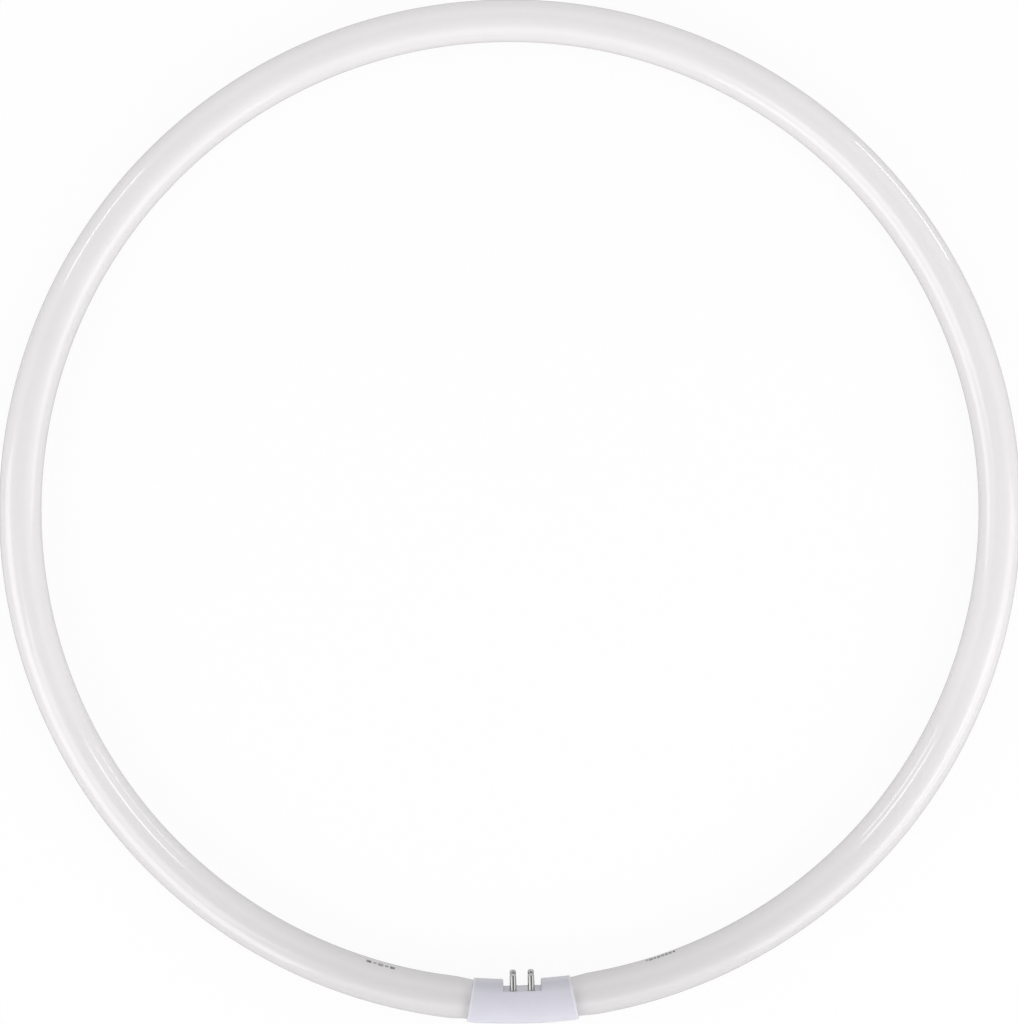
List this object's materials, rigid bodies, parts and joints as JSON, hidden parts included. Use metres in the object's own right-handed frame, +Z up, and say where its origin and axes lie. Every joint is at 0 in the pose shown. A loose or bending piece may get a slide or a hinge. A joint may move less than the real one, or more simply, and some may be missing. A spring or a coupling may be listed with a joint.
{
  "type": "circular fluorescent tube",
  "caption": "Slim white fluorescent tube bent to a ring; a plastic cap joins its ends and holds contact pins that point to the ring's centre.",
  "frame": {"origin": "centre of the ring, on the surface that the lamp lies on", "axes": "+Z up along the ring's axis; the cap is at -Y and its pins point along +Y; +X to the right as the picture shows it"},
  "size_m": [0.375, 0.3754, 0.0187],
  "materials": {
    "coated_glass": "clear gloss over a white coating, opaque",
    "cap_plastic": "satin, as moulded",
    "pin_plating": "nickel-plated brass",
    "lead_metal": "plain wire"
  },
  "bodies": {
    "root": {"discharge_tube": "coated_glass", "cap_front_half": "cap_plastic", "cap_rear_half": "cap_plastic", "contact_pin_front_left": "pin_plating", "lead_wire_front_left": "lead_metal", "contact_pin_front_right": "pin_plating", "lead_wire_front_right": "lead_metal", "contact_pin_rear_left": "pin_plating", "lead_wire_rear_left": "lead_metal", "contact_pin_rear_right": "pin_plating", "lead_wire_rear_right": "lead_metal"}
  },
  "joints": []
}
